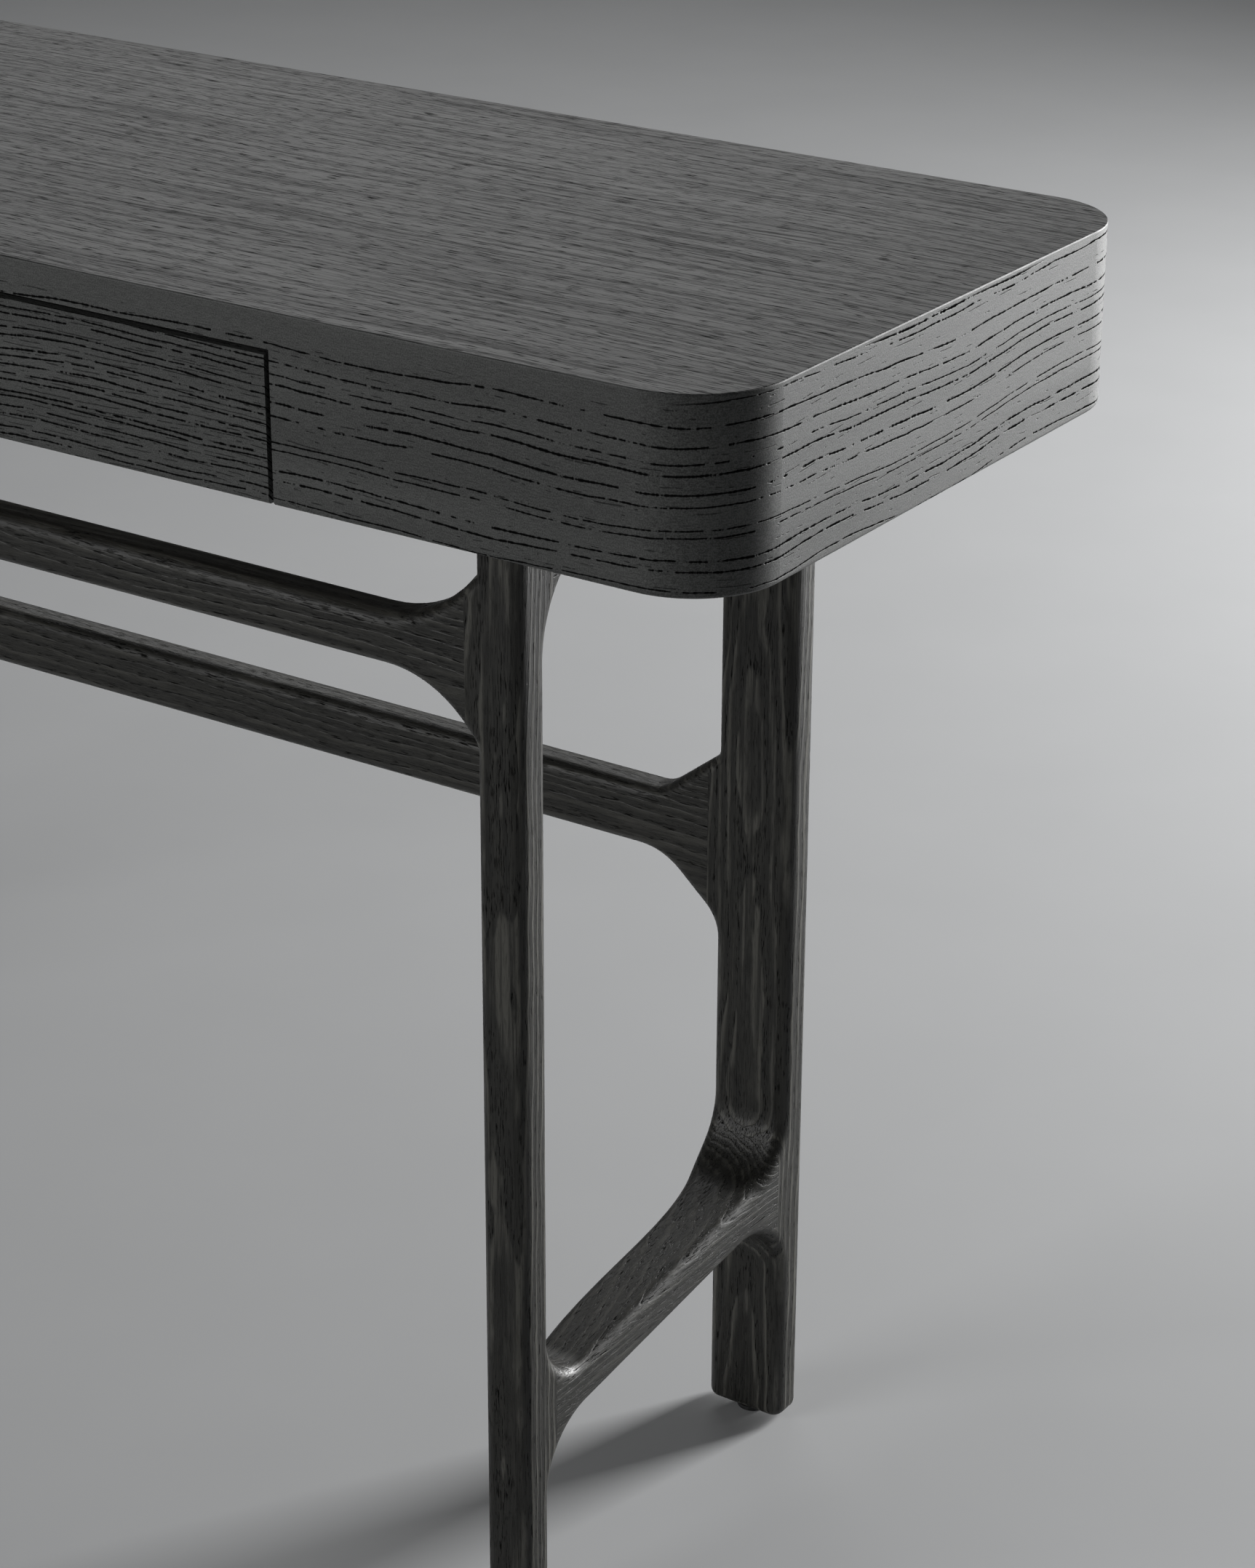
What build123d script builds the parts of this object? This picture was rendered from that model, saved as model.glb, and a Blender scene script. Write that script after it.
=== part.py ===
"""Console table: a slim rounded case with two drawers on an open frame of flared legs and rails.

The frame is +X along the length, -Y to the front, +Z up, with the origin on the floor under the middle.
Every piece is written as its own STEP file, in millimetres.
"""

from build123d import *
from collections import namedtuple
import math
import os

# ---- Overall size ----
LENGTH = 1400.0
DEPTH = 400.0
HEIGHT = 760.0
CASE_HEIGHT = 97.5
CORNER_RADIUS = 48.0
CASE_BOTTOM = HEIGHT - CASE_HEIGHT

# ---- Case boards ----
WALL = 18.0  # top, aprons and ends
TOP_ARRIS = 1.0
BOTTOM_ARRIS = 2.0
INNER_TOP = HEIGHT - WALL
FLOOR_BOARD = 9.0  # bottom panel of the case
INNER_FLOOR = CASE_BOTTOM + FLOOR_BOARD
DIVIDER = 16.0
MARGIN = 1.0  # how far a cutting shape reaches past what it cuts

# ---- Drawers ----
DRAWER_ZONE = 442.0  # half the width that the two drawers share
SHADOW_GAP = 3.0
LIPPING_HEIGHT = 19.0  # strip of apron over the drawers
FRONT_THICKNESS = 17.0
FRONT_TOP = HEIGHT - LIPPING_HEIGHT - SHADOW_GAP
FRONT_BACK_Y = -DEPTH / 2 + FRONT_THICKNESS
DIVIDER_OVERLAP = 12.0  # how far a divider stands in behind a drawer front
SIDE_THICKNESS = 14.0
SIDE_BOTTOM = INNER_FLOOR + 4.0
SIDE_TOP = SIDE_BOTTOM + 52.0
DRAWER_BACK_Y = 150.0
BACK_THICKNESS = 12.0
PANEL_THICKNESS = 6.0  # drawer bottom
PANEL_LIFT = 6.0  # drawer bottom above the lower edge of the sides
GROOVE_DEPTH = 6.0
FINGER_REBATE = (9.0, 16.0)  # depth and height of the grip behind a drawer front
FINGER_HALF = 150.0  # half the length of the grip
FINGER_RADIUS = 7.0
FINGER_SPACE = 30.0  # setback of the bottom panel behind the drawer fronts
RUNNER_HEIGHT = 12.0
RUNNER_PROUD = 10.4  # from the divider into the groove of the drawer side
RUNNER_MIDDLE = SIDE_BOTTOM + 30.0
RUNNER_PLAY = 0.5
RUNNER_START = 8.0  # behind the aprons' inner face
RUNNER_SHORT = 4.0  # short of the drawer's back
SLOT_START = 3.0  # a groove in a drawer side starts this far before its runner
SIDE_PLAY = 3.0  # between a divider and a drawer side
STOP = (24.0, 12.0, 20.0)  # width, depth and height of the block behind a drawer
STOP_INSET = 40.0  # from a divider to the middle of a stop
STOP_PLAY = 0.5

# ---- Legs ----
LEG_OUTER_X = LENGTH / 2 - 153.5
LEG_INSET = 57.5  # from the front and the back of the case
LEG_DEPTH = 24.0
FRONT_LEG_WIDTH = 29.0
BACK_LEG_WIDTH = 51.0
EDGE_RADIUS = 7.5
FOOT_RADIUS = 6.0
GLIDE_HEIGHT = 3.0
STUB = 5.0  # a leg carries this much of each flare; the rest belongs to the rail
LEG_OUTER_Y = DEPTH / 2 - LEG_INSET
LEG_INNER_Y = LEG_OUTER_Y - LEG_DEPTH
SEAM_Y = LEG_INNER_Y - STUB

# ---- Long rails; each widens into the legs by a ramp that is rounded at both ends ----
Flare = namedtuple("Flare", "reach slope rail_radius leg_radius")
LongRail = namedtuple("LongRail", "bottom top lower upper")
FRONT_RAIL = LongRail(
    bottom=CASE_BOTTOM - 98.7,
    top=CASE_BOTTOM - 69.8,
    lower=Flare(27.5, 48.0, 66.0, 10.5),
    upper=Flare(27.5, 49.0, 78.0, 2.0),
)
BACK_RAIL = LongRail(
    bottom=CASE_BOTTOM - 302.5,
    top=CASE_BOTTOM - 264.1,
    lower=Flare(38.0, 42.0, 41.0, 26.0),
    upper=Flare(39.5, 38.0, 22.0, 8.0),
)

# ---- Side rails ----
LOWER_RAIL_HEIGHT = 28.0
LOWER_RAIL_FRONT_Z = CASE_BOTTOM - 528.0  # middle of the rail where it meets the front leg
LOWER_RAIL_BACK_Z = CASE_BOTTOM - 496.5
LOWER_RAIL_FLARE = 40.0
LOWER_RAIL_FRONT_TOP_FLARE = 32.0
LOWER_RAIL_WIDTHS = ((-90.0, 32.3), (0.0, 38.5), (80.0, 44.5))  # y and width between the legs
UPPER_RAIL_HEIGHT = 25.0
UPPER_RAIL_FLARE = 60.0
FLARE_MARGIN = 12.0  # leg kept past the end of a flare while the shape is rounded

# ---- Joinery and hardware ----
DOWEL_RADIUS = 4.0
DOWEL_LENGTH = 36.0
LONG_RAIL_DOWELS = 9.0  # from the middle of the rail to each of a pair
FRONT_SIDE_DOWELS = 7.5
BACK_SIDE_DOWELS = 12.0
DRAWER_DOWEL_RADIUS = 3.0
DRAWER_DOWEL_LENGTH = 24.0
DRAWER_DOWEL_Z = (SIDE_BOTTOM + 15.0, SIDE_TOP - 7.0)
BOLT_RADIUS = 3.0
BOLT_HEAD = (6.0, 5.0)  # radius and height of the cap head
BOLT_SOCKET = (2.9, 3.0)  # radius and depth of the hexagon
BOLT_RECESS = 8.0
BOLT_RECESS_PLAY = 0.5
BOLT_Y = 75.0  # bolts stand this far before and behind the middle
INSERT_RADIUS = 5.0
INSERT_LENGTH = 13.0
CLEAT = (34.0, 250.0, 18.0)
CLEAT_INSET = 2.0  # from the outer face of the side frame
SCREW_RADIUS = 1.75
SCREW_HEAD = (3.5, 2.2)
SCREW_LENGTH = 18.0
RUNNER_SCREW_Y = (-120.0, 95.0)
GLIDE_RADIUS = 9.0
GLIDE_ROUNDING = 1.0
GLIDE_PIN = (2.0, 14.0)
EPS = 0.01


def block(x, y, z):
    """Box between three (low, high) pairs."""
    size = [high - low for low, high in (x, y, z)]
    middle = [(low + high) / 2 for low, high in (x, y, z)]
    return Pos(*middle) * Box(*size)


def rod(start, end, radius):
    """Round bar from one point to another along one axis."""
    start, end = Vector(*start), Vector(*end)
    plane = Plane(origin=start, z_dir=end - start)
    return plane * Cylinder(radius, (end - start).length, align=(Align.CENTER, Align.CENTER, Align.MIN))


def outline(inset, z):
    """Rounded plan of the case, inset from its outer face, at height z."""
    return Pos(0, 0, z) * RectangleRounded(LENGTH - 2 * inset, DEPTH - 2 * inset, CORNER_RADIUS - inset)


# ---------------------------------------------------------------- case


def case_shapes():
    """The mitred top and the ring of aprons below it, both cut from one rounded block."""
    body = extrude(outline(0, CASE_BOTTOM), CASE_HEIGHT)
    body = fillet(body.faces().sort_by(Axis.Z)[-1].edges(), TOP_ARRIS)
    body = fillet(body.faces().sort_by(Axis.Z)[0].edges(), BOTTOM_ARRIS)
    mitre = loft([outline(WALL, INNER_TOP), outline(0, HEIGHT)], ruled=True)
    ring = body - extrude(outline(WALL, CASE_BOTTOM), CASE_HEIGHT - WALL) - mitre
    return body & mitre, ring


def make_case(parts):
    top, ring = case_shapes()
    past = LENGTH
    height = (CASE_BOTTOM - MARGIN, HEIGHT + MARGIN)
    zone = (-DRAWER_ZONE, DRAWER_ZONE)
    parts["top_panel"] = top
    parts["end_apron_right"] = ring & block((DRAWER_ZONE, past), (-past, past), height)
    parts["end_apron_left"] = ring & block((-past, -DRAWER_ZONE), (-past, past), height)
    parts["back_apron"] = ring & block(zone, (0, past), height)
    parts["front_lipping"] = ring & block(zone, (-past, 0), (HEIGHT - LIPPING_HEIGHT, HEIGHT + MARGIN))

    panel = extrude(outline(WALL, CASE_BOTTOM), FLOOR_BOARD)
    grip = block(zone, (-past, FRONT_BACK_Y + FINGER_SPACE), (CASE_BOTTOM - MARGIN, INNER_FLOOR + MARGIN))
    parts["bottom_panel"] = panel - grip

    inner_front = -DEPTH / 2 + WALL
    depth = (inner_front, -inner_front)
    tall = (INNER_FLOOR, INNER_TOP)
    near = DRAWER_ZONE - DIVIDER_OVERLAP
    parts["divider_right"] = block((near, near + DIVIDER), depth, tall)
    parts["divider_left"] = block((-near - DIVIDER, -near), depth, tall)
    parts["divider_centre"] = block((-DIVIDER / 2, DIVIDER / 2), depth, tall)
    return ring


# ---------------------------------------------------------------- drawers


def drawer_bay(side):
    """Inner faces of the dividers on each side of one drawer; side is -1 or 1."""
    faces = (side * DIVIDER / 2, side * (DRAWER_ZONE - DIVIDER_OVERLAP))
    return min(faces), max(faces)


def runner(wall_x, inward):
    """Hardwood batten on a divider, with two countersunk screws."""
    reach = sorted((wall_x, wall_x + inward * RUNNER_PROUD))
    half = RUNNER_HEIGHT / 2
    length = (-DEPTH / 2 + WALL + RUNNER_START, DRAWER_BACK_Y - RUNNER_SHORT)
    bar = block(reach, length, (RUNNER_MIDDLE - half, RUNNER_MIDDLE + half))
    screws = []
    for y in RUNNER_SCREW_Y:
        face = wall_x + inward * RUNNER_PROUD
        tip = face - inward * SCREW_LENGTH
        neck = face - inward * SCREW_HEAD[1]
        shank = rod((tip, y, RUNNER_MIDDLE), (neck, y, RUNNER_MIDDLE), SCREW_RADIUS)
        head = Plane(origin=(neck, y, RUNNER_MIDDLE), z_dir=(inward, 0, 0)) * Cone(
            SCREW_RADIUS, SCREW_HEAD[0], SCREW_HEAD[1], align=(Align.CENTER, Align.CENTER, Align.MIN)
        )
        screws.append(shank + head)
    return bar, screws


def drawer_front(ring, low, high):
    """Front cut from the same rounded block as the aprons, with a finger rebate low on its back."""
    front = block((low, high), (-DEPTH, FRONT_BACK_Y), (CASE_BOTTOM - MARGIN, FRONT_TOP)) & ring
    depth, height = FINGER_REBATE
    middle = (low + high) / 2
    reach = (middle - FINGER_HALF, middle + FINGER_HALF)
    deep = (FRONT_BACK_Y - depth, FRONT_BACK_Y + MARGIN)
    grip = block(reach, deep, (CASE_BOTTOM - MARGIN, CASE_BOTTOM + height))
    grip = fillet(grip.edges().filter_by(Axis.Y), FINGER_RADIUS)
    grip += block(reach, deep, (CASE_BOTTOM - MARGIN, CASE_BOTTOM + height - FINGER_RADIUS))
    return front - grip


def make_drawer(parts, ring, name, side):
    bay_low, bay_high = drawer_bay(side)
    edges = (side * SHADOW_GAP / 2, side * (DRAWER_ZONE - SHADOW_GAP))
    front = drawer_front(ring, min(edges), max(edges))

    low, high = bay_low + SIDE_PLAY, bay_high - SIDE_PLAY
    depth = (FRONT_BACK_Y, DRAWER_BACK_Y)
    tall = (SIDE_BOTTOM, SIDE_TOP)
    boards = {
        "left_side": block((low, low + SIDE_THICKNESS), depth, tall),
        "right_side": block((high - SIDE_THICKNESS, high), depth, tall),
        "back": block(
            (low + SIDE_THICKNESS, high - SIDE_THICKNESS),
            (DRAWER_BACK_Y - BACK_THICKNESS, DRAWER_BACK_Y),
            (SIDE_BOTTOM + PANEL_LIFT + PANEL_THICKNESS, SIDE_TOP),
        ),
    }
    inner = (low + SIDE_THICKNESS, high - SIDE_THICKNESS)
    panel_z = (SIDE_BOTTOM + PANEL_LIFT, SIDE_BOTTOM + PANEL_LIFT + PANEL_THICKNESS)
    panel_x = (inner[0] - GROOVE_DEPTH, inner[1] + GROOVE_DEPTH)
    panel = block(panel_x, (FRONT_BACK_Y - GROOVE_DEPTH, DRAWER_BACK_Y), panel_z)
    front -= panel
    slot = RUNNER_HEIGHT / 2 + RUNNER_PLAY
    slot_z = (RUNNER_MIDDLE - slot, RUNNER_MIDDLE + slot)
    slot_depth = RUNNER_PROUD - SIDE_PLAY + RUNNER_PLAY
    slot_y = (-DEPTH / 2 + WALL + RUNNER_START - SLOT_START, DRAWER_BACK_Y + MARGIN)
    boards["left_side"] -= panel + block((low - MARGIN, low + slot_depth), slot_y, slot_z)
    boards["right_side"] -= panel + block((high - slot_depth, high + MARGIN), slot_y, slot_z)

    dowels = []
    for x in (low + SIDE_THICKNESS / 2, high - SIDE_THICKNESS / 2):
        for z in DRAWER_DOWEL_Z:
            half = DRAWER_DOWEL_LENGTH / 2
            dowels.append(rod((x, FRONT_BACK_Y - half, z), (x, FRONT_BACK_Y + half, z), DRAWER_DOWEL_RADIUS))
    for dowel in dowels:
        front -= dowel
        boards["left_side"] -= dowel
        boards["right_side"] -= dowel

    parts[f"{name}_front"] = front
    for board, shape in boards.items():
        parts[f"{name}_{board}"] = shape
    parts[f"{name}_bottom"] = panel
    parts[f"{name}_dowels"] = Compound(children=dowels)


def make_runners(parts):
    """Four runners on the dividers, and all their screws."""
    screws = []
    for name, side in (("left", -1), ("right", 1)):
        low, high = drawer_bay(side)
        ends = ("outer", "inner") if side < 0 else ("inner", "outer")
        for end, wall_x, inward in zip(ends, (low, high), (1, -1)):
            bar, pair = runner(wall_x, inward)
            for screw in pair:
                bar -= screw
                for divider in ("divider_left", "divider_centre", "divider_right"):
                    parts[divider] -= screw
            parts[f"runner_{name}_{end}"] = bar
            screws += pair
    parts["runner_screws"] = Compound(children=screws)


def make_stops(parts):
    """Two blocks behind each drawer, on the bottom panel."""
    width, depth, height = STOP
    near = DRAWER_BACK_Y + STOP_PLAY
    stops = []
    for side in (-1, 1):
        low, high = drawer_bay(side)
        for x in (low + STOP_INSET, high - STOP_INSET):
            reach = (x - width / 2, x + width / 2)
            stops.append(block(reach, (near, near + depth), (INNER_FLOOR, INNER_FLOOR + height)))
    parts["drawer_stops"] = Compound(children=stops)


# ---------------------------------------------------------------- legs and rails


def corners(sketch, x, y):
    """Vertices of a flat sketch at (x, y)."""
    return [v for v in sketch.vertices() if abs(v.X - x) < EPS and abs(v.Y - y) < EPS]


def long_frame(leg_width, rail, back_y):
    """A pair of legs and the rail between them as one rounded shape, ready to be cut apart."""
    inner = LEG_OUTER_X - leg_width
    leg_height = CASE_BOTTOM - GLIDE_HEIGHT
    leg = Rectangle(leg_width, leg_height, align=(Align.MIN, Align.MIN))
    flat = Pos(inner, GLIDE_HEIGHT) * leg + Pos(-LEG_OUTER_X, GLIDE_HEIGHT) * leg
    flat += Pos(0, (rail.bottom + rail.top) / 2) * Rectangle(2 * inner, rail.top - rail.bottom)
    for z, upward, flare in ((rail.top, 1, rail.upper), (rail.bottom, -1, rail.lower)):
        rise = upward * flare.reach * math.tan(math.radians(flare.slope))
        for side in (-1, 1):
            on_rail = (side * (inner - flare.reach), z)
            on_leg = (side * inner, z + rise)
            flat += make_face(Polyline(on_rail, on_leg, (side * inner, z), close=True))
            flat = fillet(corners(flat, *on_rail), flare.rail_radius)
            flat = fillet(corners(flat, *on_leg), flare.leg_radius)
    upright = Plane(origin=(0, back_y, 0), x_dir=(1, 0, 0), z_dir=(0, -1, 0))
    body = extrude(upright * flat, LEG_DEPTH)
    middle_y = back_y - LEG_DEPTH / 2
    long_edges = [
        e
        for e in body.edges()
        if abs(abs(e.center().Y - middle_y) - LEG_DEPTH / 2) < EPS
        and GLIDE_HEIGHT + MARGIN < e.center().Z < CASE_BOTTOM - MARGIN
    ]
    return fillet(long_edges, EDGE_RADIUS)


def side_plan():
    """Plan of a right side frame: straight outside, widening inside from the front leg to the back leg."""
    front_x = LEG_OUTER_X - FRONT_LEG_WIDTH
    back_x = LEG_OUTER_X - BACK_LEG_WIDTH
    between = [(LEG_OUTER_X - width, y) for y, width in LOWER_RAIL_WIDTHS]
    along = (0, 1)
    line = Line((front_x, -LEG_OUTER_Y), (front_x, -SEAM_Y))
    swell = Spline((front_x, -SEAM_Y), *between, (back_x, SEAM_Y), tangents=(along, along))
    rest = Polyline(
        (back_x, SEAM_Y),
        (back_x, LEG_OUTER_Y),
        (LEG_OUTER_X, LEG_OUTER_Y),
        (LEG_OUTER_X, -LEG_OUTER_Y),
        (front_x, -LEG_OUTER_Y),
    )
    return make_face(line + swell + rest)


def rounded_side(flat, low, high):
    """Side frame from its flat (y, z) sketch between two heights, rounded along the edges of its rail."""
    inner_x = LEG_OUTER_X - BACK_LEG_WIDTH
    upright = Plane(origin=(inner_x, 0, 0), x_dir=(0, 1, 0), z_dir=(1, 0, 0))
    body = extrude(upright * flat, BACK_LEG_WIDTH)
    body &= extrude(Pos(0, 0, low - MARGIN) * side_plan(), high - low + 2 * MARGIN)
    faces = body.faces()
    cheeks = [f for f in faces if abs(f.normal_at().X) > 0.5]
    edges_of_cheeks = [e for f in cheeks for e in f.edges()]
    swept = [
        f
        for f in faces
        if abs(f.normal_at().X) < 0.5
        and abs(f.center().Z - low) > EPS
        and abs(f.center().Z - high) > EPS
        and abs(abs(f.center().Y) - LEG_OUTER_Y) > EPS
    ]
    shared = [e for f in swept for e in f.edges() if any(e.is_same(other) for other in edges_of_cheeks)]
    return fillet(shared, EDGE_RADIUS)


def lower_side():
    """Low rail that rises towards the back leg, with flares above and below at both ends."""
    half = LOWER_RAIL_HEIGHT / 2
    front_z, back_z = LOWER_RAIL_FRONT_Z, LOWER_RAIL_BACK_Z
    low = front_z - half - LOWER_RAIL_FLARE - FLARE_MARGIN
    high = back_z + half + LOWER_RAIL_FLARE + FLARE_MARGIN
    y = LEG_INNER_Y
    post = Rectangle(LEG_DEPTH, high - low, align=(Align.MIN, Align.MIN))
    flat = Pos(-LEG_OUTER_Y, low) * post + Pos(y, low) * post
    ends = ((-y, front_z - half), (y, back_z - half), (y, back_z + half), (-y, front_z + half))
    flat += make_face(Polyline(*ends, close=True))
    flares = (
        (-y, front_z - half, LOWER_RAIL_FLARE),
        (-y, front_z + half, LOWER_RAIL_FRONT_TOP_FLARE),
        (y, back_z - half, LOWER_RAIL_FLARE),
        (y, back_z + half, LOWER_RAIL_FLARE),
    )
    for corner_y, z, radius in flares:
        flat = fillet(corners(flat, corner_y, z), radius)
    return rounded_side(flat, low, high)


def upper_side():
    """Bearer directly under the case, with one flare below at each end."""
    low = CASE_BOTTOM - UPPER_RAIL_HEIGHT - UPPER_RAIL_FLARE - FLARE_MARGIN
    high = CASE_BOTTOM
    post = Rectangle(LEG_DEPTH, high - low, align=(Align.MIN, Align.MIN))
    flat = Pos(-LEG_OUTER_Y, low) * post + Pos(LEG_INNER_Y, low) * post
    bar = Rectangle(2 * LEG_INNER_Y, UPPER_RAIL_HEIGHT, align=(Align.CENTER, Align.MAX))
    flat += Pos(0, high) * bar
    for y in (-LEG_INNER_Y, LEG_INNER_Y):
        flat = fillet(corners(flat, y, high - UPPER_RAIL_HEIGHT), UPPER_RAIL_FLARE)
    return rounded_side(flat, low, high)


def make_frame(parts):
    """Legs and rails; each side frame is made on the right and mirrored to the left."""
    past = LENGTH
    tall = (-MARGIN, HEIGHT)
    pairs = {
        "front": (FRONT_LEG_WIDTH, FRONT_RAIL, -LEG_INNER_Y, -1),
        "back": (BACK_LEG_WIDTH, BACK_RAIL, LEG_OUTER_Y, 1),
    }
    sides = {"lower": lower_side(), "upper": upper_side()}
    for where, (width, rail, back_y, sign) in pairs.items():
        whole = long_frame(width, rail, back_y)
        seam_x = LEG_OUTER_X - width - STUB
        parts[f"{where}_rail"] = whole & block((-seam_x, seam_x), (-past, past), tall)
        leg = whole & block((seam_x, past), (-past, past), tall)
        leg = fillet(leg.faces().sort_by(Axis.Z)[0].edges(), FOOT_RADIUS)
        core_y = (LEG_INNER_Y + LEG_OUTER_Y) / 2
        reach = sorted((sign * core_y, sign * SEAM_Y))
        for body in sides.values():
            leg += body & block((0, past), reach, tall)
        parts[f"{where}_leg_right"] = leg
        parts[f"{where}_leg_left"] = mirror(leg, about=Plane.YZ)
    for level, body in sides.items():
        rail = body & block((0, past), (-SEAM_Y, SEAM_Y), tall)
        parts[f"{level}_side_rail_right"] = rail
        parts[f"{level}_side_rail_left"] = mirror(rail, about=Plane.YZ)


def frame_dowels():
    """Two dowels across every seam between a leg and a rail."""
    half = DOWEL_LENGTH / 2
    core_y = LEG_OUTER_Y - LEG_DEPTH / 2
    upper_z = CASE_BOTTOM - UPPER_RAIL_HEIGHT / 2
    found = []
    for sign in (-1, 1):
        for width, rail, y in ((FRONT_LEG_WIDTH, FRONT_RAIL, -core_y), (BACK_LEG_WIDTH, BACK_RAIL, core_y)):
            seam_x = sign * (LEG_OUTER_X - width - STUB)
            middle = (rail.bottom + rail.top) / 2
            for z in (middle - LONG_RAIL_DOWELS, middle + LONG_RAIL_DOWELS):
                found.append(rod((seam_x - half, y, z), (seam_x + half, y, z), DOWEL_RADIUS))
        for y, width, spread, heights in (
            (-SEAM_Y, FRONT_LEG_WIDTH, FRONT_SIDE_DOWELS, (LOWER_RAIL_FRONT_Z, upper_z)),
            (SEAM_Y, BACK_LEG_WIDTH, BACK_SIDE_DOWELS, (LOWER_RAIL_BACK_Z, upper_z)),
        ):
            middle = LEG_OUTER_X - width / 2
            for z in heights:
                for x in (middle - spread, middle + spread):
                    found.append(rod((sign * x, y - half, z), (sign * x, y + half, z), DOWEL_RADIUS))
    return found


def fit_dowels(parts):
    dowels = frame_dowels()
    wooden = [name for name in parts if "_leg_" in name or "_rail" in name]
    for name in wooden:
        reach = parts[name].bounding_box()
        for dowel in dowels:
            low, high = dowel.bounding_box().min, dowel.bounding_box().max
            if all(a < b for a, b in zip(low, reach.max)) and all(a > b for a, b in zip(high, reach.min)):
                parts[name] -= dowel
    parts["frame_dowels"] = Compound(children=dowels)


# ---------------------------------------------------------------- hardware


def make_fixings(parts):
    """Bolts up through each bearer and the bottom panel into threaded inserts in a cleat."""
    bolts, inserts = [], []
    width, length, height = CLEAT
    head_radius, head_height = BOLT_HEAD
    socket_radius, socket_depth = BOLT_SOCKET
    seat = CASE_BOTTOM - UPPER_RAIL_HEIGHT + BOLT_RECESS
    top = INNER_FLOOR + INSERT_LENGTH
    for name, sign in (("left", -1), ("right", 1)):
        x = sign * (LEG_OUTER_X - width / 2 - CLEAT_INSET)
        reach = (x - width / 2, x + width / 2)
        cleat = block(reach, (-length / 2, length / 2), (INNER_FLOOR, INNER_FLOOR + height))
        bearer = parts[f"upper_side_rail_{name}"]
        for y in (-BOLT_Y, BOLT_Y):
            shank = rod((x, y, seat), (x, y, top), BOLT_RADIUS)
            head = rod((x, y, seat - head_height), (x, y, seat), head_radius)
            socket = Pos(x, y, seat - head_height) * extrude(RegularPolygon(socket_radius, 6), socket_depth)
            insert = rod((x, y, INNER_FLOOR), (x, y, top), INSERT_RADIUS) - shank
            recess = rod((x, y, seat - BOLT_RECESS - MARGIN), (x, y, seat), head_radius + BOLT_RECESS_PLAY)
            bearer -= recess + shank
            parts["bottom_panel"] -= shank
            cleat -= insert + shank
            bolts.append(shank + head - socket)
            inserts.append(insert)
        parts[f"upper_side_rail_{name}"] = bearer
        parts[f"cleat_{name}"] = cleat
    parts["frame_bolts"] = Compound(children=bolts)
    parts["threaded_inserts"] = Compound(children=inserts)


def make_glides(parts):
    """A nylon glide with a pin under every leg."""
    glides = []
    pin_radius, pin_length = GLIDE_PIN
    core_y = LEG_OUTER_Y - LEG_DEPTH / 2
    for side, sign in (("left", -1), ("right", 1)):
        for where, width, y in (("front", FRONT_LEG_WIDTH, -core_y), ("back", BACK_LEG_WIDTH, core_y)):
            x = sign * (LEG_OUTER_X - width / 2)
            disc = rod((x, y, 0), (x, y, GLIDE_HEIGHT), GLIDE_RADIUS)
            disc = fillet(disc.edges().sort_by(Axis.Z)[0], GLIDE_ROUNDING)
            pin = rod((x, y, GLIDE_HEIGHT), (x, y, GLIDE_HEIGHT + pin_length), pin_radius)
            glides.append(disc + pin)
            parts[f"{where}_leg_{side}"] -= pin
    parts["foot_glides"] = Compound(children=glides)


def make_all():
    parts = {}
    ring = make_case(parts)
    for name, side in (("left_drawer", -1), ("right_drawer", 1)):
        make_drawer(parts, ring, name, side)
    make_runners(parts)
    make_stops(parts)
    make_frame(parts)
    fit_dowels(parts)
    make_fixings(parts)
    make_glides(parts)
    return parts


os.makedirs("parts", exist_ok=True)
for node, shape in make_all().items():
    export_step(shape, f"parts/{node}.step")
    print(node, len(shape.solids()))
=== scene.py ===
import math
from collections import namedtuple

import bpy
from mathutils import Euler, Matrix, Vector


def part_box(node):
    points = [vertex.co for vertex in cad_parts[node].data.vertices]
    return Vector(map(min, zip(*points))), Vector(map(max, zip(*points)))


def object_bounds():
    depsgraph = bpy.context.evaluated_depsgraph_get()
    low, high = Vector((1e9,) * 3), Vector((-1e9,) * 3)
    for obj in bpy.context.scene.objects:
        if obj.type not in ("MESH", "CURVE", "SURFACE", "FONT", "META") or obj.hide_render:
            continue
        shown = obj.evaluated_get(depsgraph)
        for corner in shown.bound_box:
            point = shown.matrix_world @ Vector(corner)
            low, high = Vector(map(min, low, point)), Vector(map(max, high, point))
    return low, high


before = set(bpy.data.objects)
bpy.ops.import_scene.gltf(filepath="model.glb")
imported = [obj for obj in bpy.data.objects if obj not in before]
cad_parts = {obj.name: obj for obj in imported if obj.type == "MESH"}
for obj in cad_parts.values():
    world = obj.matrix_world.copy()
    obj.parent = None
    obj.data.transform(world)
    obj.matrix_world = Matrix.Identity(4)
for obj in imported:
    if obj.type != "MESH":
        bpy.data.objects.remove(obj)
cad_low, cad_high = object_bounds()

# Looks of the console table: dark stained open-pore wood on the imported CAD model. Lengths are in metres.

LENGTH = cad_high.x - cad_low.x
DEPTH = cad_high.y - cad_low.y
HEIGHT = cad_high.z

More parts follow.
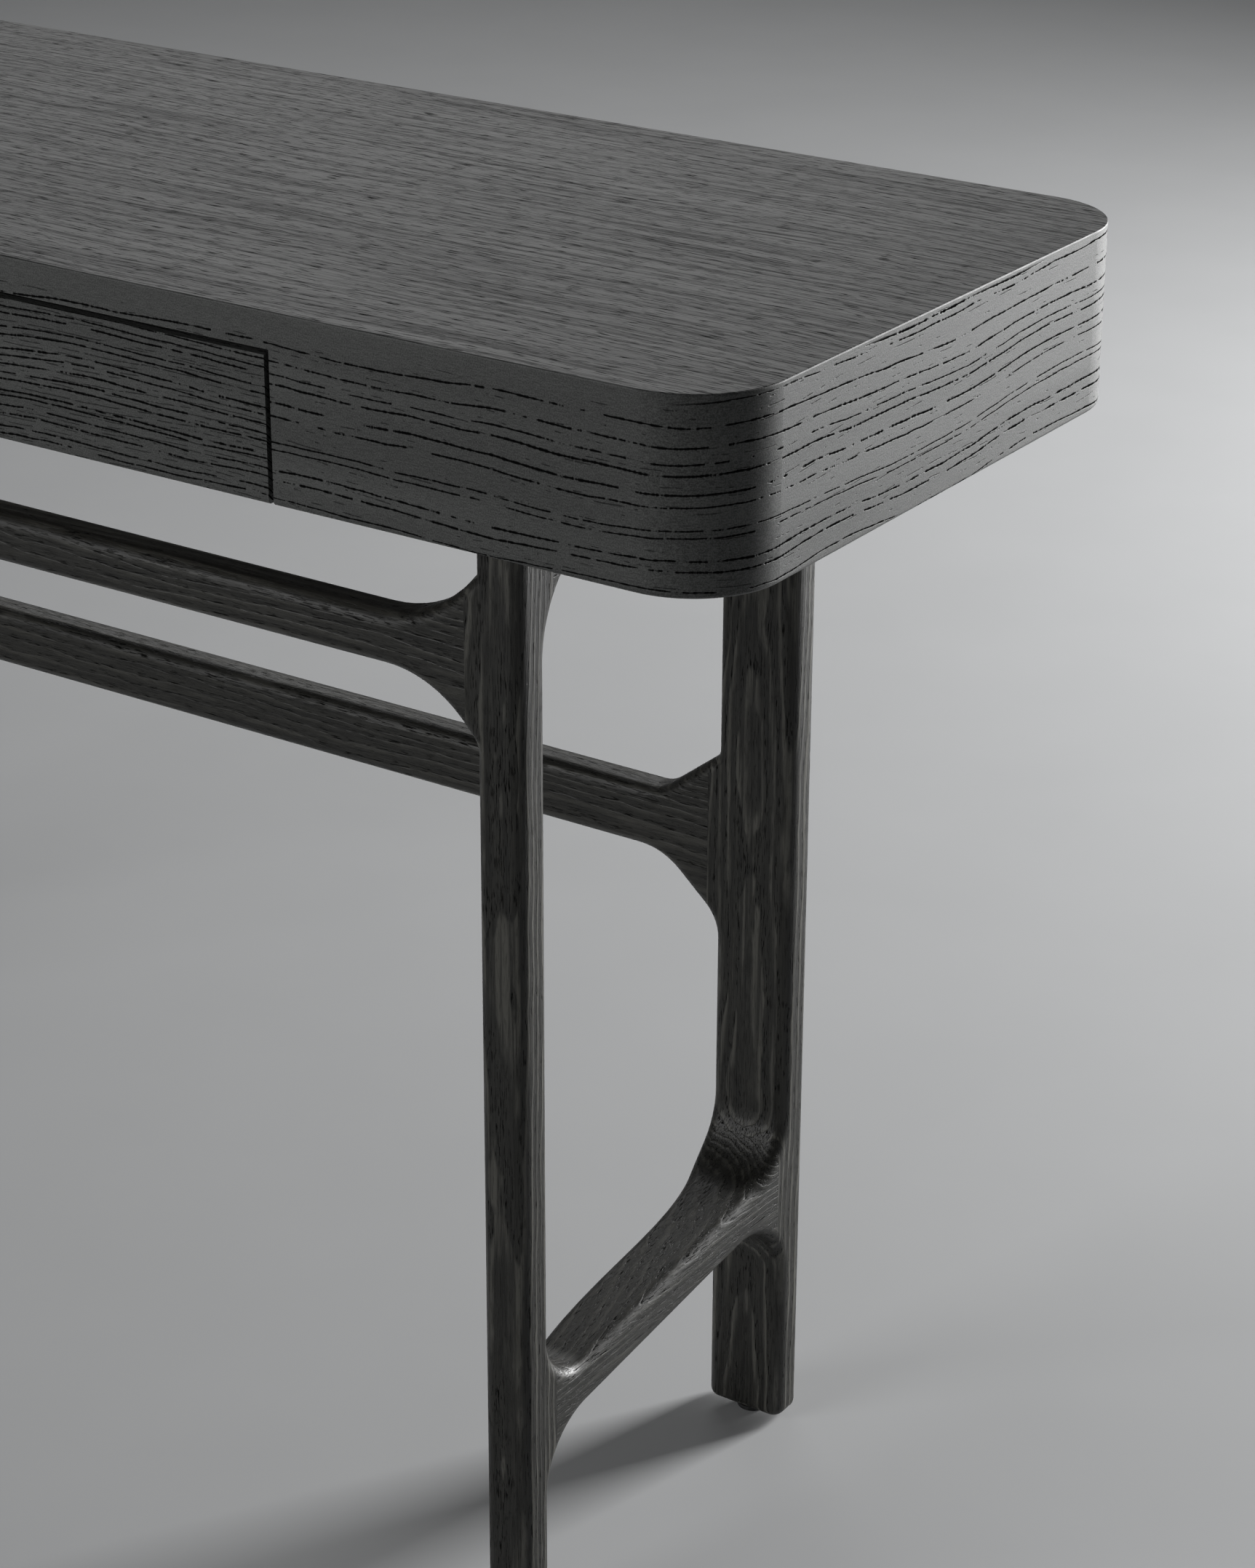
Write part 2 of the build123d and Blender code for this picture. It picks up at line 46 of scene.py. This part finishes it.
# Linear colours.
STAIN_TOP = (0.074, 0.075, 0.073)
STAIN_APRON = (0.080, 0.082, 0.079)
STAIN_FRAME = (0.023, 0.0225, 0.0195)
PORE = (0.004, 0.004, 0.004)
STREAK = (0.115, 0.112, 0.098)
LINING = (0.05, 0.048, 0.045)
BEECH = (0.40, 0.29, 0.18)
OAK = (0.33, 0.24, 0.15)
STEEL = (0.45, 0.45, 0.46)
BRASS = (0.72, 0.52, 0.25)
NYLON = (0.018, 0.018, 0.018)
SCUFFED_NYLON = (0.045, 0.045, 0.045)
FLOOR_DARK = (0.43, 0.435, 0.44)
FLOOR_PALE = (0.46, 0.465, 0.47)
DAYLIGHT = (0.93, 0.97, 1.0)

SHEEN_LEVEL = 0.38  # specular level of the matt lacquer
NOISE_RANGE = (0.3, 0.7)  # where nearly all of a noise's values lie

# Open pores of the case's sides.
LONG_PORE = 0.00072  # half width of a dash of the long rows, before it is made ragged
SHORT_PORE = 0.00030  # the same for the fine rows between them
PORE_EDGE = 0.00012  # softness of a pore's edge
CLEAR_FRONT = 0.013  # height of the band under the top's edge where the rows fade out, along the front
CLEAR_END = 0.003  # the same along the ends
SLOW_BEND = (4.2, 9.0)  # noise cells per metre of the rows' long waves, along and across the grain
QUICK_BEND = (48.0, 45.0)  # the same for the small waver on them
QUICK_SHIFT = 0.0016  # how far that waver moves a row
ROW_STEP = 5.37  # keeps the noise of neighbouring rows apart

# Growth rings of the rails: straighter along the grain and fainter than those of the legs.
RAIL_RING = 0.0036
RAIL_LEAN = 0.006
RAIL_STREAKS = 0.3

Light = namedtuple("Light", "name place size power")
LIGHTS = (
    Light("key_behind", (1.85, 3.3, 1.15), (1.0, 2.0), 260.0),
    Light("sheen_back", (-2.1, 3.5, 2.5), (2.6, 1.6), 23.0),
    Light("fill_front", (-1.5, -3.5, 1.6), (2.0, 2.0), 55.0),
)
SKY_STRENGTH = 0.04
FLOOR_RADIUS = 14.0
FLOOR_GAP = 0.0005  # below the feet

LENS = 85.79  # focal length in mm
SENSOR = 36.0  # width in mm
YAW, PITCH, ROLL = (math.radians(degrees) for degrees in (33.836, 23.839, 0.252))
FROM_END = (0.8362, -1.5238, 0.5111)  # the camera's place from the middle of the top's right edge


# ---------------------------------------------------------------- shader graph


class Graph:
    """One node material, with short calls that each add a node and return its output."""

    def __init__(self, name):
        self.material = bpy.data.materials.new(name)
        self.material.use_nodes = True
        self.tree = self.material.node_tree
        self.shader = self.tree.nodes["Principled BSDF"]
        self.place = self.tree.nodes.new("ShaderNodeTexCoord").outputs["Object"]
        self.shader.inputs["Specular IOR Level"].default_value = SHEEN_LEVEL

    def feed(self, socket, value):
        if isinstance(value, bpy.types.NodeSocket):
            self.tree.links.new(value, socket)
        else:
            socket.default_value = value

    def math(self, operation, *values):
        node = self.tree.nodes.new("ShaderNodeMath")
        node.operation = operation
        for socket, value in zip(node.inputs, values):
            self.feed(socket, value)
        return node.outputs[0]

    def add(self, *values):
        total = values[0]
        for value in values[1:]:
            total = self.math("ADD", total, value)
        return total

    def times(self, *values):
        total = values[0]
        for value in values[1:]:
            total = self.math("MULTIPLY", total, value)
        return total

    def minus(self, first, second):
        return self.math("SUBTRACT", first, second)

    def axes(self):
        node = self.tree.nodes.new("ShaderNodeSeparateXYZ")
        self.feed(node.inputs[0], self.place)
        return node.outputs[0], node.outputs[1], node.outputs[2]

    def vector(self, x=0.0, y=0.0, z=0.0):
        node = self.tree.nodes.new("ShaderNodeCombineXYZ")
        for socket, value in zip(node.inputs, (x, y, z)):
            self.feed(socket, value)
        return node.outputs[0]

    def noise(self, vector, detail=2.0, roughness=0.5, scale=1.0):
        node = self.tree.nodes.new("ShaderNodeTexNoise")
        self.feed(node.inputs["Vector"], vector)
        node.inputs["Scale"].default_value = scale
        node.inputs["Detail"].default_value = detail
        node.inputs["Roughness"].default_value = roughness
        return node.outputs[0]

    def swing(self, vector):
        """Noise from -0.5 to 0.5."""
        return self.minus(self.noise(vector), 0.5)

    def random(self, value):
        node = self.tree.nodes.new("ShaderNodeTexWhiteNoise")
        node.noise_dimensions = "1D"
        self.feed(node.inputs["W"], value)
        return node.outputs["Value"]

    def ramp(self, value, low, high, to_low=0.0, to_high=1.0, smooth=True):
        """Value mapped from low..high to to_low..to_high, clamped."""
        node = self.tree.nodes.new("ShaderNodeMapRange")
        node.interpolation_type = "SMOOTHSTEP" if smooth else "LINEAR"
        for name, given in (
            ("Value", value),
            ("From Min", low),
            ("From Max", high),
            ("To Min", to_low),
            ("To Max", to_high),
        ):
            self.feed(node.inputs[name], given)
        return node.outputs[0]

    def spread(self, noise, low, high):
        """The usual range of a noise, mapped to low..high."""
        return self.ramp(noise, *NOISE_RANGE, low, high)

    def mix(self, factor, first, second):
        """Colour between first and second."""
        node = self.tree.nodes.new("ShaderNodeMix")
        node.data_type = "RGBA"
        self.feed(node.inputs["Factor"], factor)
        for name, value in (("A", first), ("B", second)):
            socket = [s for s in node.inputs if s.name == name and s.type == "RGBA"][0]
            self.feed(socket, value if isinstance(value, bpy.types.NodeSocket) else (*value, 1.0))
        return [s for s in node.outputs if s.type == "RGBA"][0]

    def bump(self, height, distance, strength=1.0):
        node = self.tree.nodes.new("ShaderNodeBump")
        node.inputs["Strength"].default_value = strength
        node.inputs["Distance"].default_value = distance
        self.feed(node.inputs["Height"], height)
        self.feed(self.shader.inputs["Normal"], node.outputs[0])

    def open_pores(self, pores):
        """Takes the sheen of the lacquer away inside the pores."""
        level = self.times(self.minus(1.0, pores), SHEEN_LEVEL)
        self.feed(self.shader.inputs["Specular IOR Level"], level)

    def finish(self, colour, roughness):
        self.feed(self.shader.inputs["Base Color"], colour)
        self.feed(self.shader.inputs["Roughness"], roughness)
        return self.material


def scaled(colour, by):
    return tuple(c * by for c in colour)


# ---------------------------------------------------------------- wood


def pore_rows(g, along, across, spacing, seed, wave, half_width, dash, cover):
    """Rows of dark open-pore dashes, one per growth ring, wavering along their length. 0 to 1, and crisp."""
    slow = g.swing(g.vector(g.times(along, SLOW_BEND[0]), g.times(across, SLOW_BEND[1]), seed))
    quick = g.swing(g.vector(g.times(along, QUICK_BEND[0]), g.times(across, QUICK_BEND[1]), seed + 3.0))
    shifted = g.add(across, g.times(slow, wave), g.times(quick, QUICK_SHIFT))
    rows = g.math("DIVIDE", shifted, spacing)
    row = g.math("FLOOR", rows)
    centre = g.ramp(g.random(g.add(row, seed * 7.1)), 0.0, 1.0, 0.20, 0.80, smooth=False)
    distance = g.times(g.math("ABSOLUTE", g.minus(g.math("FRACT", rows), centre)), spacing)
    pieces = g.noise(g.vector(g.times(along, dash), g.times(row, ROW_STEP), seed), detail=4.0, roughness=0.68)
    on = g.ramp(pieces, cover - 0.025, cover + 0.025)
    strength = g.ramp(g.random(g.add(row, seed * 3.3 + 9.0)), 0.0, 1.0, 0.65, 1.0, smooth=False)
    edge = g.vector(g.times(along, 420.0), g.times(row, 3.1), seed + 6.0)
    ragged = g.spread(g.noise(edge), 0.45, 1.3)
    half = g.times(on, strength, ragged, half_width)
    return g.times(g.ramp(distance, g.times(half, 0.45), g.add(half, PORE_EDGE), 1.0, 0.0), on)


def flecks(g, along, across, third, length, thickness, seed):
    """Fine fibre noise, stretched along the grain."""
    stretched = g.vector(
        g.add(g.math("DIVIDE", along, length), seed),
        g.math("DIVIDE", across, thickness),
        g.math("DIVIDE", third, thickness),
    )
    return g.noise(stretched, detail=3.0, roughness=0.55)


def wrap_length(g):
    """Distance along the case's outside, measured round its corners from the middle of the front."""
    x, y, _ = g.axes()
    from_front = g.add(y, DEPTH / 2)
    reach = g.math("ABSOLUTE", x)
    behind = g.math("GREATER_THAN", y, 0.0)
    back_reach = g.minus(LENGTH, reach)
    along = g.add(g.times(reach, g.minus(1.0, behind)), g.times(back_reach, behind))
    side = g.math("SIGN", g.add(x, 1e-6))  # the small shift keeps the middle plane from 0
    return g.times(g.add(along, from_front), side)


def apron_wood(name, seed, spacing, wave, cover, fine_cover, slant=0.0):
    """Horizontal open-pore veneer for the case's sides, running on round the corners.

    A slant carries the rows over edges that run along the grain."""
    g = Graph(name)
    along = wrap_length(g)
    _, y, z = g.axes()
    across = g.add(z, g.times(y, slant))
    clear = g.ramp(g.math("ABSOLUTE", along), LENGTH * 0.42, LENGTH * 0.52, CLEAR_FRONT, CLEAR_END)
    keep = g.ramp(g.minus(HEIGHT, z), g.times(clear, 0.6), clear)
    long_rows = pore_rows(g, along, across, spacing, seed, wave, LONG_PORE, 52.0, cover)
    fine_rows = pore_rows(g, along, across, spacing * 0.55, seed + 20.0, wave, SHORT_PORE, 60.0, fine_cover)
    fibre = flecks(g, along, across, 0.0, 0.006, 0.0007, seed)
    speck = g.noise(g.place, scale=1400.0)
    broad = g.noise(g.vector(g.times(along, 2.4), g.times(z, 42.0), seed))
    shade = g.add(
        g.spread(fibre, -0.20, 0.20),
        g.spread(speck, -0.34, 0.34),
        g.spread(broad, -0.16, 0.16),
        0.5,
    )
    base = g.mix(shade, scaled(STAIN_APRON, 0.45), scaled(STAIN_APRON, 1.55))
    pores = g.math("MAXIMUM", g.times(long_rows, keep), g.times(g.times(fine_rows, keep), 0.6))
    colour = g.mix(pores, base, PORE)
    g.bump(g.minus(g.times(g.add(fibre, speck), 0.14), pores), 0.0005, 0.8)
    g.open_pores(pores)
    return g.finish(colour, g.add(g.spread(fibre, 0.46, 0.56), g.times(pores, 0.3)))


def top_wood(name, seed):
    """Fine straight grain along the length of the top, with short pores and a slow waver."""
    g = Graph(name)
    x, y, _ = g.axes()
    slow = g.swing(g.vector(g.times(x, 2.2), g.times(y, 6.0), seed))
    quick = g.swing(g.vector(g.times(x, 19.0), g.times(y, 22.0), seed + 5.0))
    across = g.add(y, g.times(slow, 0.030), g.times(quick, 0.0035))
    fine = flecks(g, x, across, 0.0, 0.050, 0.0011, seed)
    medium = flecks(g, x, across, 0.0, 0.22, 0.0036, seed + 11.0)
    broad = flecks(g, x, across, 0.0, 0.70, 0.030, seed + 23.0)
    pale = g.ramp(flecks(g, x, across, 0.0, 0.30, 0.0042, seed + 41.0), 0.60, 0.72)
    pores = g.ramp(flecks(g, x, across, 0.0, 0.014, 0.0010, seed + 31.0), 0.57, 0.66)
    shade = g.add(
        g.ramp(fine, 0.36, 0.64, -0.34, 0.34),
        g.ramp(medium, 0.36, 0.64, -0.26, 0.26),
        g.ramp(broad, 0.36, 0.64, -0.14, 0.14),
        g.times(pale, 0.45),
        0.46,
    )
    base = g.mix(shade, scaled(STAIN_TOP, 0.15), scaled(STAIN_TOP, 2.2))
    dark = g.ramp(g.add(fine, medium), 0.84, 0.98, 0.75, 0.0)
    colour = g.mix(g.times(pores, 0.8), base, PORE)
    g.bump(g.minus(g.times(g.add(fine, medium), 0.4), g.times(pores, 0.8)), 0.0005, 0.8)
    g.open_pores(g.math("MAXIMUM", pores, dark))
    return g.finish(colour, g.add(g.spread(fine, 0.40, 0.52), g.times(pores, 0.25)))


def turned(g, order):
    """Object coordinates as (along the grain, across it, through it)."""
    found = dict(zip("xyz", g.axes()))
    return [found[letter] for letter in order]


def solid_wood(name, order, heart, seed, ring=0.0034, lean=0.016, streaks=0.75):
    """Solid wood: growth rings round a heart line that leans along the grain, so faces show arches."""
    g = Graph(name)
    along, across, through = turned(g, order)
    bend = g.vector(g.times(along, 6.0), g.times(across, 26.0), g.add(g.times(through, 26.0), seed))
    waver = g.swing(bend)
    fray = g.vector(g.times(along, 38.0), g.times(across, 150.0), g.add(g.times(through, 150.0), seed))
    ripple = g.swing(fray)
    side = g.minus(across, heart[0])
    deep = g.minus(through, heart[1])
    radius = g.math("SQRT", g.add(g.times(side, side), g.times(deep, deep)))
    bent = g.add(radius, g.times(along, lean), g.times(waver, ring * 3.4), g.times(ripple, ring * 0.7))
    phase = g.math("FRACT", g.math("DIVIDE", bent, ring))
    late = g.times(g.ramp(phase, 0.50, 0.80), g.ramp(phase, 0.90, 1.0, 1.0, 0.0))
    fibre = flecks(g, along, across, through, 0.022, 0.0007, seed)
    coarse = flecks(g, along, across, through, 0.13, 0.0032, seed + 9.0)
    short = g.ramp(flecks(g, along, across, through, 0.009, 0.0008, seed + 17.0), 0.54, 0.63)
    pores = g.times(short, g.ramp(phase, 0.0, 0.5, 1.0, 0.30))
    streak = g.times(late, g.ramp(coarse, 0.40, 0.56, 0.15, 1.0))
    shade = g.add(g.spread(fibre, -0.26, 0.26), g.spread(coarse, -0.20, 0.20), 0.5)
    base = g.mix(shade, scaled(STAIN_FRAME, 0.25), scaled(STAIN_FRAME, 1.75))
    lit = g.mix(g.times(streak, streaks), base, STREAK)
    colour = g.mix(g.times(pores, 0.85), lit, PORE)
    relief = g.add(g.times(fibre, 0.35), g.times(late, 0.35))
    g.bump(g.minus(relief, g.times(pores, 0.9)), 0.00045, 0.8)
    g.open_pores(pores)
    return g.finish(colour, g.add(g.spread(fibre, 0.36, 0.48), g.times(pores, 0.25)))


def plain_wood(name, order, colour, seed, roughness=0.6):
    """Unstained or lightly stained wood inside the case."""
    g = Graph(name)
    along, across, through = turned(g, order)
    fibre = flecks(g, along, across, through, 0.05, 0.0009, seed)
    band = flecks(g, along, across, through, 0.4, 0.009, seed + 5.0)
    shade = g.add(g.spread(fibre, -0.2, 0.2), g.spread(band, -0.25, 0.25), 0.5)
    g.bump(fibre, 0.0002, 0.5)
    return g.finish(
        g.mix(shade, scaled(colour, 0.72), scaled(colour, 1.22)),
        g.spread(fibre, roughness - 0.06, roughness + 0.06),
    )


def metal(name, colour, seed, roughness=0.34):
    """Turned or rolled metal with fine marks."""
    g = Graph(name)
    marks = g.noise(g.place, detail=4.0, scale=900.0)
    tarnish = g.noise(g.place, scale=90.0 + seed)
    g.shader.inputs["Metallic"].default_value = 1.0
    g.bump(marks, 0.00005, 0.4)
    return g.finish(
        g.mix(g.ramp(tarnish, 0.35, 0.65), scaled(colour, 0.8), colour),
        g.spread(marks, roughness - 0.06, roughness + 0.1),
    )


def nylon(name):
    """Moulded black plastic with a fine grain and scuffs."""
    g = Graph(name)
    grain = g.noise(g.place, scale=2600.0)
    scuff = g.noise(g.place, detail=4.0, scale=160.0)
    g.bump(grain, 0.00004, 0.5)
    return g.finish(
        g.mix(g.ramp(scuff, 0.45, 0.7), NYLON, SCUFFED_NYLON),
        g.spread(scuff, 0.45, 0.6),
    )


# ---------------------------------------------------------------- pieces


def dress(name, material):
    """The material becomes the node's only one."""
    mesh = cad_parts[name].data
    mesh.materials.clear()
    mesh.materials.append(material)


def middle(name):
    low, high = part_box(name)
    return (low + high) / 2


def dress_case():
    dress("top_panel", top_wood("stained_top", 2.0))
    apron = apron_wood("stained_apron", 4.0, spacing=0.0078, wave=0.024, cover=0.44, fine_cover=0.56)
    for name in ("end_apron_left", "end_apron_right", "back_apron", "front_lipping"):
        dress(name, apron)
    lining = plain_wood("case_lining", "xyz", LINING, 3.0)
    for name in ("bottom_panel", "divider_left", "divider_centre", "divider_right"):
        dress(name, lining)
    beech = plain_wood("beech", "yxz", BEECH, 8.0)
    for name in ("cleat_left", "cleat_right", "drawer_stops", "frame_dowels"):
        dress(name, beech)
    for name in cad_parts:
        if name.startswith("runner_") and name != "runner_screws":
            dress(name, beech)


def dress_drawers():
    cross = plain_wood("drawer_oak_cross", "xyz", OAK, 12.0, 0.5)
    deep = plain_wood("drawer_oak_deep", "yxz", OAK, 15.0, 0.5)
    peg = plain_wood("drawer_dowel", "yxz", BEECH, 19.0)
    for number, drawer in enumerate(("left_drawer", "right_drawer")):
        seed = 40.0 + 9.0 * number
        veneer = apron_wood(
            f"{drawer}_veneer",
            seed,
            spacing=0.0050,
            wave=0.022,
            cover=0.43,
            fine_cover=0.50,
            slant=0.9,
        )
        dress(f"{drawer}_front", veneer)
        dress(f"{drawer}_back", cross)
        dress(f"{drawer}_bottom", cross)
        dress(f"{drawer}_left_side", deep)
        dress(f"{drawer}_right_side", deep)
        dress(f"{drawer}_dowels", peg)


def dress_leg(name, seed):
    centre = middle(name)
    heart = (centre.x + 0.002, centre.y + 0.022)
    dress(name, solid_wood(f"stained_{name}", "zxy", heart, seed))


def dress_long_rail(name, seed):
    centre = middle(name)
    heart = (centre.z - 0.03, centre.y + 0.03)
    dress(name, solid_wood(f"stained_{name}", "xzy", heart, seed, RAIL_RING, RAIL_LEAN, RAIL_STREAKS))


def dress_side_rail(name, seed):
    centre = middle(name)
    heart = (centre.x - 0.03, centre.z - 0.05)
    dress(name, solid_wood(f"stained_{name}", "yxz", heart, seed, RAIL_RING, RAIL_LEAN, RAIL_STREAKS))


def dress_frame():
    """Every piece of the frame is cut from its own board and gets its own material; the seed steps on after
    each leg and side rail, so each long rail shares its seed with the piece dressed after it.
    """
    seed = 50.0
    for where in ("front", "back"):
        for side in ("left", "right"):
            dress_leg(f"{where}_leg_{side}", seed)
            seed += 7.0
        dress_long_rail(f"{where}_rail", seed)
    for level in ("lower", "upper"):
        for side in ("left", "right"):
            dress_side_rail(f"{level}_side_rail_{side}", seed)
            seed += 7.0


def dress_hardware():
    steel = metal("zinc_steel", STEEL, 1.0)
    brass = metal("turned_brass", BRASS, 5.0)
    dress("frame_bolts", steel)
    dress("runner_screws", steel)
    dress("threaded_inserts", brass)
    dress("foot_glides", nylon("black_nylon"))


# ---------------------------------------------------------------- studio


def make_floor():
    bpy.ops.mesh.primitive_circle_add(
        vertices=96,
        radius=FLOOR_RADIUS,
        fill_type="NGON",
        location=(0.0, 0.0, -FLOOR_GAP),
    )
    floor = bpy.context.object
    floor.name = "floor"
    g = Graph("studio_floor")
    soft = g.noise(g.place, detail=3.0, scale=6.0)
    floor.data.materials.append(g.finish(g.mix(soft, FLOOR_DARK, FLOOR_PALE), 0.85))


def soft_light(light, aim):
    """A rectangular area light that faces the point aim and stays out of the picture."""
    lamp = bpy.data.lights.new(light.name, "AREA")
    lamp.shape = "RECTANGLE"
    lamp.size, lamp.size_y = light.size
    lamp.energy = light.power
    holder = bpy.data.objects.new(light.name, lamp)
    bpy.context.scene.collection.objects.link(holder)
    holder.location = light.place
    holder.rotation_euler = (Vector(aim) - Vector(light.place)).to_track_quat("-Z", "Y").to_euler()
    holder.visible_camera = False


def make_sky():
    world = bpy.data.worlds.new("studio")
    bpy.context.scene.world = world
    world.use_nodes = True
    background = world.node_tree.nodes["Background"]
    background.inputs["Color"].default_value = (*DAYLIGHT, 1.0)
    background.inputs["Strength"].default_value = SKY_STRENGTH


def make_studio():
    make_floor()
    make_sky()
    right_end = (LENGTH / 2, 0.0, HEIGHT * 0.8)
    for light in LIGHTS:
        soft_light(light, right_end)
    bpy.context.scene.view_settings.view_transform = "Standard"


def make_camera():
    """Close three-quarter view of the right end; the left end runs out of the frame."""
    camera = bpy.data.cameras.new("camera")
    camera.lens = LENS
    camera.sensor_width = SENSOR
    holder = bpy.data.objects.new("camera", camera)
    bpy.context.scene.collection.objects.link(holder)
    holder.location = Vector((LENGTH / 2, 0.0, HEIGHT)) + Vector(FROM_END)
    turn = Euler((math.pi / 2 - PITCH, 0.0, YAW)).to_matrix() @ Matrix.Rotation(ROLL, 3, "Z")
    holder.rotation_euler = turn.to_euler()
    bpy.context.scene.camera = holder


make_camera()
make_studio()
dress_case()
dress_drawers()
dress_frame()
dress_hardware()
